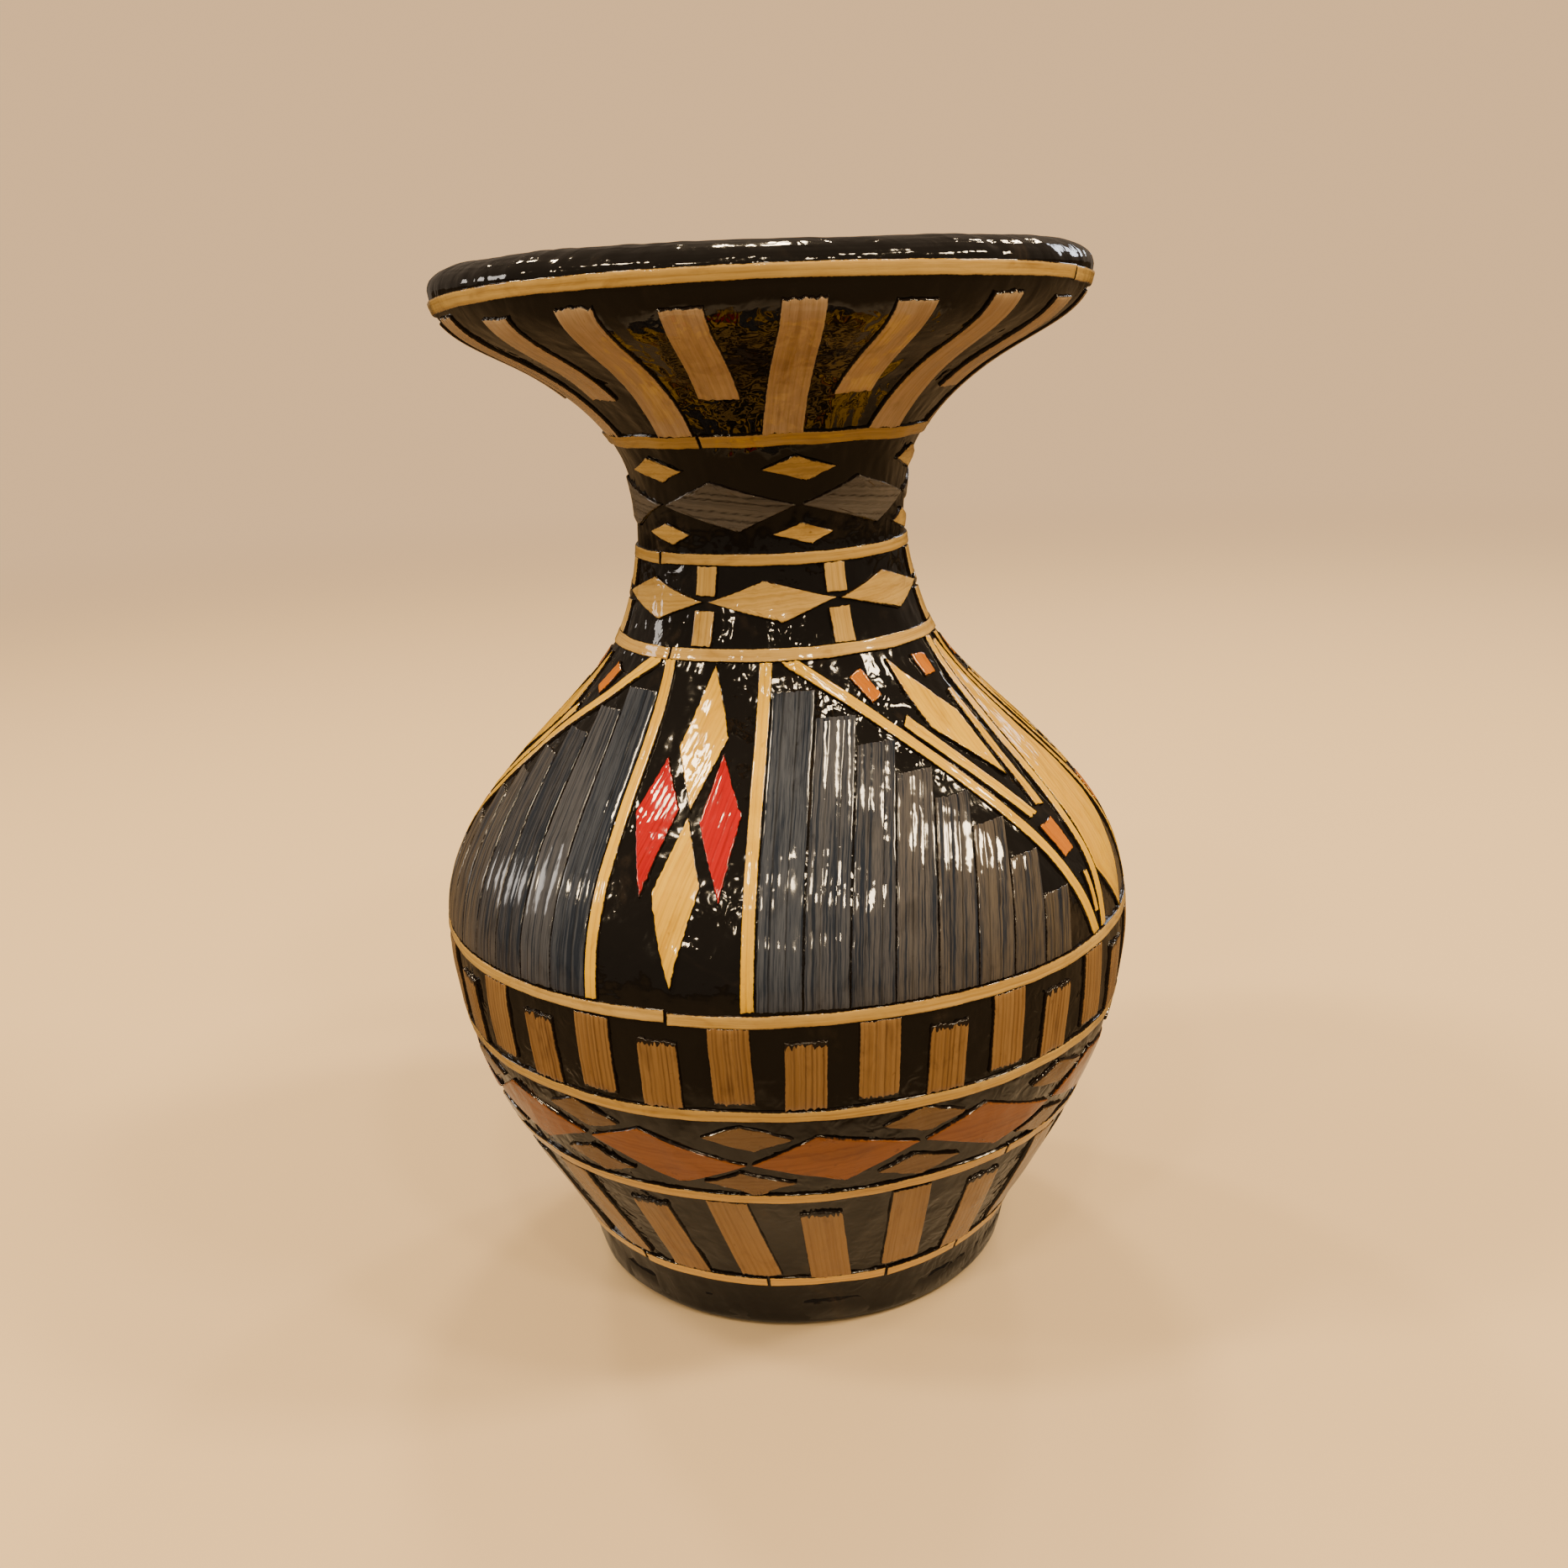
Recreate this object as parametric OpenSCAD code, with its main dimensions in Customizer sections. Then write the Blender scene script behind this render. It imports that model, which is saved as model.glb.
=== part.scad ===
// Clay vase covered with straw marquetry: a turned pot with a wide flared mouth, painted black,
// with flattened straws cut to shape and glued on in bands. The origin is the centre of the
// resting face, +Z is up, and the medallion between the two grey panels faces about -Y.

/* [Pot] */
// Height of the vase, over the top of its rounded lip
height = 204.5; // [165:0.5:250]
// Diameter of the foot
foot_d = 89.2; // [72:0.2:110]
// Diameter of the belly, over the clay
belly_d = 140; // [115:1:170]
// Diameter of the neck where it is narrowest
neck_d = 52.6; // [43:0.2:64]
// Diameter of the mouth, over the upright edge of the rim
rim_d = 124.8; // [103:0.2:150]
// Height of the widest part of the belly, as a share of the vase's height
belly_at = 0.377; // [0.33:0.001:0.42]
// Height of the narrowest part of the neck, as a share of the vase's height
neck_at = 0.763; // [0.745:0.001:0.78]
// Thickness of the clay wall
wall = 6; // [4:0.5:9]
// Thickness of the floor inside
floor_t = 8; // [5:0.5:14]
// Radius that rounds the bottom edge of the foot
foot_round = 3; // [1:0.5:5]
// Rise of the rounded lip above the straw band on the rim
lip_rise = 4.5; // [2:0.5:6]
// Width of the rounded lip, from the outside into the mouth
lip_w = 16.8; // [12:0.2:20]

/* [Straw] */
// Thickness of a flattened straw with its lacquer
straw_t = 0.6; // [0.3:0.1:1]
// Ground left showing between pieces laid side by side
lay_gap = 0.25; // [0.1:0.05:0.6]
// Width of a whole flattened straw, as used for the bars of the mouth and the belly
bar_w = 7.5; // [5:0.5:9]
// Width of the straws used for the bars above the foot
foot_bar_w = 8; // [5:0.5:9]
// Width of the strips that frame the shoulder panels
strip_w = 2.5; // [1.5:0.1:3.5]

/* [Rings] */
// Width of the straw rings that part the bands
ring_w = 2.4; // [1.5:0.1:3.5]
// Width of the straw band on the rim
rim_band_w = 2.6; // [2:0.1:5]
// Height of the foot ring, as a share of the vase's height
foot_ring_at = 0.063; // [0.05:0.001:0.08]
// Height of the ring above the foot bars
lower_ring_at = 0.192; // [0.18:0.001:0.205]
// Height of the ring above the orange lozenges
waist_ring_at = 0.291; // [0.28:0.001:0.305]
// Height of the ring round the belly
belly_ring_at = 0.383; // [0.375:0.001:0.39]
// Height of the ring at the root of the neck
shoulder_ring_at = 0.652; // [0.64:0.001:0.665]
// Height of the ring in the middle of the neck
neck_ring_at = 0.735; // [0.72:0.001:0.745]
// Height of the ring at the top of the neck
throat_ring_at = 0.842; // [0.83:0.001:0.855]

/* [Bands] */
// Pairs of long and short bars round the mouth
mouth_pairs = 10; // [8:1:11]
// Lozenges round the neck in each of its three rows
neck_count = 6; // [5:1:7]
// Lozenges round the collar
collar_count = 7; // [6:1:8]
// Pairs of hanging and standing bars round the belly
belly_pairs = 17; // [14:1:19]
// Orange lozenges round the lower belly
lower_count = 13; // [11:1:14]
// Pairs of hanging and standing bars above the foot
foot_pairs = 11; // [10:1:13]
// Width of the tabs on the collar
tab_w = 4.3; // [3:0.1:5]
// Ground left above the long bars of the mouth
long_bar_gap = 2; // [1:0.1:5]
// Ground left above the short bars of the mouth
short_bar_gap = 2.8; // [1:0.1:6]
// Ground left under the short bars of the mouth
short_bar_foot = 7; // [3:0.5:8]
// Ground left under a hanging bar
hanging_gap = 1.2; // [0.6:0.1:3]
// Ground left over a standing bar
standing_gap = 3; // [1.5:0.1:5]
// Lean of the bars above the foot, in degrees round the vase from top to bottom
foot_bar_lean = 3; // [0:0.5:4]

/* [Shoulder panels] */
// Azimuth of the front medallion
medallion_at = -19.4; // [-30:0.1:30]
// Azimuth from the medallion where the arch strips leave the shoulder ring
arch_start = 19.6; // [19:0.1:24]
// Azimuth from the medallion where the side strips leave the shoulder ring
side_start = 85.5; // [84:0.1:86]
// Bare ground past the last grey straw under the arch strip, in straw widths
panel_spare = 1.05; // [0.8:0.05:2]

/* [Hidden] */
$fn = 144;

cream = [0.87, 0.76, 0.50];
honey = [0.74, 0.55, 0.31];
orange = [0.80, 0.46, 0.18];
red = [0.74, 0.12, 0.14];
grey = [0.33, 0.36, 0.39];
black = [0.07, 0.06, 0.06];

foot_r = foot_d / 2;
belly_r = belly_d / 2;
neck_r = neck_d / 2;
rim_r = rim_d / 2;
belly_z = height * belly_at;
neck_z = height * neck_at;
rim_z = height - lip_rise;

// The outline of the wall runs in three sweeps: foot to belly, belly to neck, neck to rim.
// Each point is a share of the sweep's rise and a share of its change in radius.
foot_sweep = [[0, 0], [0.07, 0.05], [0.14, 0.11], [0.24, 0.27], [0.43, 0.575], [0.6, 0.795],
    [0.74, 0.92], [0.88, 0.98]];
shoulder_sweep = [[0, 0], [0.13, 0.04], [0.25, 0.155], [0.38, 0.355], [0.51, 0.59],
    [0.61, 0.76], [0.7, 0.875], [0.79, 0.94], [0.91, 0.99]];
mouth_sweep = [[0, 0], [0.13, 0.015], [0.29, 0.065], [0.47, 0.23], [0.65, 0.505], [0.8, 0.86],
    [0.9, 0.975], [0.95, 0.995], [1, 1]];

function mix(a, b, share) = a + (b - a) * share;
function sweep(points, z0, z1, r0, r1) = [for (p = points) [mix(z0, z1, p[0]), mix(r0, r1, p[1])]];

knots = concat(
    sweep(foot_sweep, foot_round, belly_z, foot_r, belly_r),
    sweep(shoulder_sweep, belly_z, neck_z, belly_r, neck_r),
    sweep(mouth_sweep, neck_z, rim_z, neck_r, rim_r));
last_knot = len(knots) - 1;

// A smooth curve through the knots: each stretch is a cubic that shares its slope with the next
function knot_slope(i) =
    let (a = knots[max(i - 1, 0)], b = knots[min(i + 1, last_knot)]) (b[1] - a[1]) / (b[0] - a[0]);
function curve_r(i, u) =
    let (h = knots[i + 1][0] - knots[i][0])
    (2 * u ^ 3 - 3 * u ^ 2 + 1) * knots[i][1] + (u ^ 3 - 2 * u ^ 2 + u) * h * knot_slope(i)
    + (3 * u ^ 2 - 2 * u ^ 3) * knots[i + 1][1] + (u ^ 3 - u ^ 2) * h * knot_slope(i + 1);
steps_per_knot = 3;
stations = concat(
    [for (i = [0:last_knot - 1], k = [0:steps_per_knot - 1]) let (u = k / steps_per_knot)
        [mix(knots[i][0], knots[i + 1][0], u), curve_r(i, u)]],
    [knots[last_knot]]);

// Radius of the bare wall at a height, and its outward normal as [across, up]
function wall_r(z) = lookup(z, stations);
function wall_normal(z) =
    let (reach = 1, change = wall_r(z + reach) - wall_r(z - reach))
    [2 * reach, -change] / norm([2 * reach, change]);
function wall_point(z, out) = [wall_r(z), z] + out * wall_normal(z);
function degrees_at(z, arc) = arc / wall_r(z) * 180 / PI;

// The bands of ground between the rings
function ring_low(share) = height * share - ring_w / 2;
function ring_top(share) = height * share + ring_w / 2;
foot_band = [ring_top(foot_ring_at), ring_low(lower_ring_at)];
lower_band = [ring_top(lower_ring_at), ring_low(waist_ring_at)];
belly_band = [ring_top(waist_ring_at), ring_low(belly_ring_at)];
panel_band = [ring_top(belly_ring_at), ring_low(shoulder_ring_at)];
collar_band = [ring_top(shoulder_ring_at), ring_low(neck_ring_at)];
neck_band = [ring_top(neck_ring_at), ring_low(throat_ring_at)];
mouth_band = [ring_top(throat_ring_at), rim_z - rim_band_w];
function up(band, share) = mix(band[0], band[1], share);
function tall(band) = band[1] - band[0];

// Section through a layer of straw on the wall between two heights
module layer(low, high) {
    sliver = 0.01;
    heights = concat([low], [for (s = stations) if (s[0] > low + sliver && s[0] < high - sliver) s[0]],
        [high]);
    polygon(concat(
        [for (z = heights) [wall_r(z), z]],
        [for (i = [len(heights) - 1:-1:0]) wall_point(heights[i], straw_t)]));
}

// The layer over an arc that faces -Y, and right round the vase
module skin(low, high, reach) {
    rotate_extrude(angle = 2 * reach, start = -90 - reach) layer(low, high);
}
module ring(low, high) {
    rotate_extrude() layer(low, high);
}

// A piece of straw cut to an outline of [azimuth, height] points and laid on the wall between
// the heights low and high
module straw(outline, low, high) {
    margin = 4; // degrees of layer past the outline
    turns = [for (p = outline) p[0]];
    middle = (min(turns) + max(turns)) / 2;
    rotate([0, 0, middle])
        intersection() {
            skin(low, high, (max(turns) - min(turns)) / 2 + margin);
            rotate([90, 0, 0])
                linear_extrude(belly_r + rim_r)
                    polygon([for (p = outline) [wall_r(p[1]) * sin(p[0] - middle), p[1]]]);
        }
}

// A piece that its outline cuts all round
module cut_piece(outline) {
    heights = [for (p = outline) p[1]];
    straw(outline, min(heights) - straw_t, max(heights) + straw_t);
}

// A bar of one straw's width; lean turns its lower end round the vase
module bar(azimuth, low, high, width, lean = 0) {
    past = 2;
    shift = wall_r((low + high) / 2) * sin(lean / 2);
    rotate([0, 0, azimuth])
        intersection() {
            skin(low, high, degrees_at(low, width) + degrees_at(high, width) + lean);
            rotate([90, 0, 0])
                linear_extrude(belly_r + rim_r)
                    polygon([
                        [shift - width / 2, low - past], [shift + width / 2, low - past],
                        [width / 2 - shift, high + past], [-width / 2 - shift, high + past]]);
        }
}

// A four-pointed piece on azimuth 0: half its width in degrees, half its height, and the shift
// of its top and bottom points round the vase
module lozenge(z, half_turn, half_h, top_shift = 0, bottom_shift = 0) {
    cut_piece([[-half_turn, z], [bottom_shift, z - half_h], [half_turn, z], [top_shift, z + half_h]]);
}

module around(count, first = 0) {
    for (i = [0:count - 1]) rotate([0, 0, first + i * 360 / count]) children();
}

// The shoulder repeats twice round the vase, and each half mirrors about its medallion.
// Children see $side: 0 on one side of the medallion and 1 on the other.
module both_halves() {
    around(2, medallion_at) children();
}
module four_panels() {
    both_halves() {
        let ($side = 0) children();
        mirror([1, 0, 0]) let ($side = 1) children();
    }
}

// The line of a strip laid straight over the shoulder, as [height, azimuth] from the belly ring
// up. A flat strip keeps radius x sine of its turn from upright the same all along: its pull.
lay_steps = 24;
lay_top = height * shoulder_ring_at;
lay_drop = (lay_top - height * belly_ring_at) / lay_steps;
function lay_turn(z, pull) =
    let (r = wall_r(z), slope = (wall_r(z + lay_drop / 2) - wall_r(z - lay_drop / 2)) / lay_drop)
    pull / (r * sqrt(r ^ 2 - pull ^ 2)) * sqrt(1 + slope ^ 2) * lay_drop * 180 / PI;
function lay_down(start, pull) = [
    for (i = 0, a = start; i <= lay_steps;
            a = a + lay_turn(lay_top - (i + 0.5) * lay_drop, pull), i = i + 1)
        [lay_top - i * lay_drop, a]];
function lay_line(start, pull) =
    let (down = lay_down(start, pull)) [for (i = [lay_steps:-1:0]) down[i]];

// The pull that turns a line by so many degrees from top to bottom, found by halving
function pull_for(turn, low, high, halvings) =
    let (middle = (low + high) / 2)
    halvings == 0 ? middle
    : lay_down(0, middle)[lay_steps][1] < turn ? pull_for(turn, middle, high, halvings - 1)
    : pull_for(turn, low, middle, halvings - 1);

// Half a strip's width in degrees, measured along the level, where its line has that pull
function half_strip(z, pull) = degrees_at(z, strip_w / 2 / sqrt(1 - (pull / wall_r(z)) ^ 2));

// The strips that frame the shoulder leave its ring at an azimuth from the medallion. Those of
// the medallion differ a little on its two sides, as laid by hand.
medallion_starts = [16, 18.7];
medallion_slants = [-3, -9]; // turn from upright at the shoulder ring
side_slant = -8;
function slant_pull(slant) = wall_r(lay_top) * sin(slant);
medallion_pulls = [for (slant = medallion_slants) slant_pull(slant)];
medallion_lines = [for (k = [0, 1]) lay_line(medallion_starts[k], medallion_pulls[k])];
side_pull = slant_pull(side_slant);
side_line = lay_line(side_start, side_pull);
function medallion_inner(z, k) = lookup(z, medallion_lines[k]) - half_strip(z, medallion_pulls[k]);
function medallion_outer(z, k) = lookup(z, medallion_lines[k]) + half_strip(z, medallion_pulls[k]);
function side_inner(z) = lookup(z, side_line) - half_strip(z, side_pull);
function side_outer(z) = lookup(z, side_line) + half_strip(z, side_pull);

// The arch strip crosses from beside the medallion to the foot of the side strip
arch_foot = side_inner(lay_top - lay_steps * lay_drop) - degrees_at(belly_z, strip_w / 2 + 2 * lay_gap);
steepest = 0.98; // of the radius at the shoulder ring, past which a strip can't leave it
arch_pull = pull_for(arch_foot - arch_start, 0, steepest * wall_r(lay_top), 20);
arch_line = lay_line(arch_start, arch_pull);
function arch_lower(z) = lookup(z, arch_line) - half_strip(z, arch_pull);
function arch_upper(z) = lookup(z, arch_line) + half_strip(z, arch_pull);

// A strip between its two edges, given as azimuths at each height of its line
module laid_strip(near, far) {
    straw(concat(
        [for (p = far) p],
        [for (i = [lay_steps:-1:0]) near[i]]),
        panel_band[0], panel_band[1]);
}

// The grey straws stand side by side on the belly ring, each as wide as the next, and each is
// cut square where its outer corner would meet the arch strip.
panel_straws = 8;
function gap_turn(z) = degrees_at(z, lay_gap);
function panel_edge(z, k) = medallion_outer(z, k) + gap_turn(z);
function panel_space(k) =
    let (z = panel_band[0]) (arch_lower(z) - panel_edge(z, k)) * PI / 180 * wall_r(z);
panel_straw_w = min(panel_space(0), panel_space(1)) / (panel_straws + panel_spare);
function straw_edge(z, i, k) = panel_edge(z, k) + degrees_at(z, i * panel_straw_w);
trim_step = 0.5;
function straw_top(i, k) = max([
    for (z = [panel_band[0]:trim_step:panel_band[1]])
        if (straw_edge(z, i, k) < arch_lower(z) - gap_turn(z)) z]);

module grey_straws(i) {
    cuts = 8; // in each long edge
    past = 1;
    color(grey)
        four_panels() {
            top = straw_top(i, $side);
            heights = [for (n = [0:cuts]) mix(panel_band[0] - past, top + past, n / cuts)];
            straw(concat(
                [for (z = heights) [straw_edge(z, i, $side) - gap_turn(z), z]],
                [for (n = [cuts:-1:0]) [straw_edge(heights[n], i - 1, $side), heights[n]]]),
                panel_band[0], top);
        }
}

module clay_pot() {
    lip_steps = 16;
    foot_steps = 6;
    // The inside follows the wall from just above the floor up to where the lip's own curve begins
    inside_top = mix(neck_z, rim_z, 0.66);
    inside = [
        for (s = stations) let (p = wall_point(s[0], -wall))
            if (p[1] > floor_t + 1 && s[0] < inside_top) p];
    floor_r = inside[0][0] - 2;
    color(black)
        rotate_extrude()
            polygon(concat(
                [[0, 0]],
                [for (i = [0:foot_steps - 1]) let (a = -90 + 90 * i / foot_steps)
                    [foot_r - foot_round, foot_round] + foot_round * [cos(a), sin(a)]],
                [for (s = stations) [s[1], s[0]]],
                [for (i = [1:lip_steps]) let (a = 180 * i / lip_steps)
                    [rim_r - lip_w / 2, rim_z] + [lip_w / 2 * cos(a), lip_rise * sin(a)]],
                [for (i = [len(inside) - 1:-1:0]) inside[i]],
                [[floor_r, floor_t], [0, floor_t]]));
}

module rim_band() { color(cream) ring(rim_z - rim_band_w, rim_z); }
module throat_ring() { color(cream) ring(ring_low(throat_ring_at), ring_top(throat_ring_at)); }
module neck_ring() { color(cream) ring(ring_low(neck_ring_at), ring_top(neck_ring_at)); }
module shoulder_ring() { color(cream) ring(ring_low(shoulder_ring_at), ring_top(shoulder_ring_at)); }
module belly_ring() { color(cream) ring(ring_low(belly_ring_at), ring_top(belly_ring_at)); }
module waist_ring() { color(cream) ring(ring_low(waist_ring_at), ring_top(waist_ring_at)); }
module lower_ring() { color(cream) ring(ring_low(lower_ring_at), ring_top(lower_ring_at)); }
module foot_ring() { color(cream) ring(ring_low(foot_ring_at), ring_top(foot_ring_at)); }

// Mouth: long bars stand on the throat ring, and short ones hang free between them
mouth_first = 6;
module mouth_bars_long() {
    color(cream)
        around(mouth_pairs, mouth_first) bar(0, mouth_band[0], mouth_band[1] - long_bar_gap, bar_w);
}
module mouth_bars_short() {
    color(cream)
        around(mouth_pairs, mouth_first + 180 / mouth_pairs)
            bar(0, mouth_band[0] + short_bar_foot, mouth_band[1] - short_bar_gap, bar_w);
}

// Neck: wide grey lozenges point to point, with small cream ones above and below where they meet
neck_first = 11.5;
neck_rows = [0.17, 0.44, 0.78]; // middles of the rows, as shares of the band
neck_half_h = [0.105, 0.235, 0.12]; // half heights, of the band
neck_skews = [[-1, 3], [-5, 6], [-2, 3]]; // shifts of the top and bottom points, in degrees
module neck_lozenges_upper() {
    color(cream)
        around(neck_count, neck_first)
            lozenge(up(neck_band, neck_rows[2]), 90 / neck_count, tall(neck_band) * neck_half_h[2],
                neck_skews[2][0], neck_skews[2][1]);
}
module neck_lozenges_grey() {
    color(grey)
        around(neck_count, neck_first + 180 / neck_count)
            lozenge(up(neck_band, neck_rows[1]), 180 / neck_count - gap_turn(neck_z),
                tall(neck_band) * neck_half_h[1], neck_skews[1][0], neck_skews[1][1]);
}
module neck_lozenges_lower() {
    color(cream)
        around(neck_count, neck_first + 1.5)
            lozenge(up(neck_band, neck_rows[0]), 80 / neck_count, tall(neck_band) * neck_half_h[0],
                neck_skews[0][0], neck_skews[0][1]);
}

// Collar: lozenges point to point, with a short tab above and below each pair of points
collar_first = -1;
collar_middle = 0.56; // of the band
collar_half_h = 0.265; // of the band
collar_skew = [-2.5, 4]; // shift of the top and bottom points, in degrees
tab_clear = 0.06; // of the band, from the lozenges' points to an upper tab
module collar_lozenges() {
    z = up(collar_band, collar_middle);
    color(cream)
        around(collar_count, collar_first)
            lozenge(z, 180 / collar_count - gap_turn(z), tall(collar_band) * collar_half_h,
                collar_skew[0], collar_skew[1]);
}
module collar_tabs_upper() {
    color(cream)
        around(collar_count, collar_first - 180 / collar_count)
            bar(0, up(collar_band, collar_middle + tab_clear), collar_band[1], tab_w);
}
module collar_tabs_lower() {
    color(cream)
        around(collar_count, collar_first - 180 / collar_count)
            bar(0, collar_band[0], up(collar_band, collar_middle - 2 * tab_clear), tab_w);
}

// Medallion: two strips frame two cream lozenges, one under the other, and two red ones beside.
// Each corner is a share of the way from the left strip to the right one, and of the way up.
module medallion_strips() {
    color(cream)
        four_panels()
            laid_strip(
                [for (p = medallion_lines[$side]) [medallion_inner(p[0], $side), p[0]]],
                [for (p = medallion_lines[$side]) [medallion_outer(p[0], $side), p[0]]]);
}
module in_medallion(corners) {
    both_halves()
        cut_piece([
            for (c = corners) let (z = up(panel_band, c[1]))
                [mix(-medallion_inner(z, 1), medallion_inner(z, 0), c[0]), z]]);
}
module medallion_lozenges_upper() {
    color(cream) in_medallion([[0.52, 0.995], [0.285, 0.74], [0.53, 0.57], [0.76, 0.77]]);
}
module medallion_lozenges_lower() {
    color(cream) in_medallion([[0.53, 0.557], [0.35, 0.345], [0.54, 0.06], [0.705, 0.365]]);
}
module medallion_lozenges_red() {
    color(red) {
        in_medallion([[0.2, 0.715], [0.045, 0.56], [0.26, 0.33], [0.43, 0.577]]);
        in_medallion([[0.735, 0.73], [0.62, 0.54], [0.84, 0.325], [0.955, 0.56]]);
    }
}

// Beside each grey panel: an arch strip over it, a kite with two fan strips that meet below it,
// three orange chips, a splint, and an upright strip against the leaf at the vase's side. In the
// bay between the two strips each corner is a share of the way across, and of the way up.
module arch_strips() {
    color(cream)
        four_panels()
            laid_strip(
                [for (p = arch_line) [max(arch_lower(p[0]), panel_edge(p[0], $side)), p[0]]],
                [for (p = arch_line) [min(arch_upper(p[0]), side_inner(p[0]) - gap_turn(p[0])), p[0]]]);
}
module side_strips() {
    color(cream)
        four_panels()
            laid_strip(
                [for (p = side_line) [side_inner(p[0]), p[0]]],
                [for (p = side_line) [side_outer(p[0]), p[0]]]);
}
module in_bay(corners) {
    four_panels()
        cut_piece([
            for (c = corners) let (z = up(panel_band, c[1]))
                [mix(arch_upper(z), side_inner(z), c[0]), z]]);
}
module chips_inner() {
    color(orange) in_bay([[0.29, 0.96], [0.145, 0.935], [0.06, 0.845], [0.21, 0.865]]);
}
module chips_outer() {
    color(orange) in_bay([[0.73, 0.965], [0.72, 0.885], [0.865, 0.89], [0.875, 0.96]]);
}
module chips_lower() {
    color(orange) in_bay([[0.69, 0.405], [0.2, 0.395], [0.15, 0.285], [0.73, 0.295]]);
}
module shoulder_kites() {
    color(cream) in_bay([[0.51, 0.975], [0.26, 0.74], [0.58, 0.557], [0.75, 0.765]]);
}
module fan_strips_inner() {
    color(cream) in_bay([[0.19, 0.795], [0.04, 0.765], [0.18, 0.425], [0.46, 0.43]]);
}
module fan_strips_outer() {
    color(cream) in_bay([[0.92, 0.835], [0.84, 0.835], [0.54, 0.45], [0.77, 0.445]]);
}
module splints() {
    color(cream) in_bay([[0.8, 0.22], [0.52, 0.22], [0.2, 0.07], [0.75, 0.07]]);
}

// The leaf lies between two side strips. One of its edges follows the nearer strip down, and each
// of its other corners is a share of the way out to the strips, and of the way up.
module side_leaves() {
    leaf_top = 0.985;
    leaf_shoulder = 0.2;
    cuts = 8;
    near_edge = [
        for (n = [0:cuts]) let (z = up(panel_band, mix(leaf_top, leaf_shoulder, n / cuts)))
            [side_outer(z) + gap_turn(z) - 90, z]];
    corners = [
        for (c = [[-0.3, 0.01], [0.82, 0.38], [0.2, leaf_top]]) let (z = up(panel_band, c[1]))
            [c[0] * (90 - side_outer(z)), z]];
    color(cream)
        rotate([0, 0, medallion_at])
            for (side = [0, 1])
                mirror([side, 0, 0]) rotate([0, 0, 90]) cut_piece(concat(near_edge, corners));
}

// Belly: bars hang from the belly ring and stand on the waist ring by turns
belly_first = -8.9;
module belly_bars_hanging() {
    color(honey)
        around(belly_pairs, belly_first)
            bar(0, belly_band[0] + hanging_gap, belly_band[1], bar_w);
}
module belly_bars_standing() {
    color(honey)
        around(belly_pairs, belly_first + 180 / belly_pairs)
            bar(0, belly_band[0], belly_band[1] - standing_gap, bar_w);
}

// Lower belly: orange lozenges point to point, with small ones where they meet
lower_first = 6.2;
orange_middle = 0.49; // of the band
orange_half_h = 0.325; // of the band
orange_skew = [-0.12, 0.06]; // shift of the top and bottom points, of the pitch
tan_half_h = 0.16; // of the band
tan_half_turn = 0.27; // of the pitch
tan_clear = 0.035; // of the band, from a small lozenge to the ring
module orange_lozenges() {
    pitch = 360 / lower_count;
    z = up(lower_band, orange_middle);
    color(orange)
        around(lower_count, lower_first)
            lozenge(z, pitch / 2 - gap_turn(z), tall(lower_band) * orange_half_h,
                orange_skew[0] * pitch, orange_skew[1] * pitch);
}
module tan_lozenges_upper() {
    pitch = 360 / lower_count;
    color(honey)
        around(lower_count, lower_first + pitch / 2)
            lozenge(up(lower_band, 1 - tan_clear - tan_half_h), tan_half_turn * pitch,
                tall(lower_band) * tan_half_h, -1, 1);
}
module tan_lozenges_lower() {
    pitch = 360 / lower_count;
    color(honey)
        around(lower_count, lower_first + pitch / 2)
            lozenge(up(lower_band, tan_clear + tan_half_h), tan_half_turn * pitch,
                tall(lower_band) * tan_half_h, -1, 1);
}

// Foot: bars hang from the lower ring and stand on the foot ring by turns
foot_first = -11.3;
module foot_bars_hanging() {
    color(honey)
        around(foot_pairs, foot_first)
            bar(0, foot_band[0] + hanging_gap, foot_band[1], foot_bar_w, foot_bar_lean);
}
module foot_bars_standing() {
    color(honey)
        around(foot_pairs, foot_first + 180 / foot_pairs)
            bar(0, foot_band[0], foot_band[1] - standing_gap, foot_bar_w, foot_bar_lean);
}

clay_pot();
rim_band();
throat_ring();
neck_ring();
shoulder_ring();
belly_ring();
waist_ring();
lower_ring();
foot_ring();
mouth_bars_long();
mouth_bars_short();
neck_lozenges_upper();
neck_lozenges_grey();
neck_lozenges_lower();
collar_lozenges();
collar_tabs_upper();
collar_tabs_lower();
medallion_strips();
medallion_lozenges_upper();
medallion_lozenges_lower();
medallion_lozenges_red();
grey_straws(1);  // grey_straws_1
grey_straws(2);  // grey_straws_2
grey_straws(3);  // grey_straws_3
grey_straws(4);  // grey_straws_4
grey_straws(5);  // grey_straws_5
grey_straws(6);  // grey_straws_6
grey_straws(7);  // grey_straws_7
grey_straws(8);  // grey_straws_8
arch_strips();
chips_inner();
chips_outer();
chips_lower();
shoulder_kites();
fan_strips_inner();
fan_strips_outer();
splints();
side_strips();
side_leaves();
belly_bars_hanging();
belly_bars_standing();
orange_lozenges();
tan_lozenges_upper();
tan_lozenges_lower();
foot_bars_hanging();
foot_bars_standing();
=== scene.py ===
import math

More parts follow.
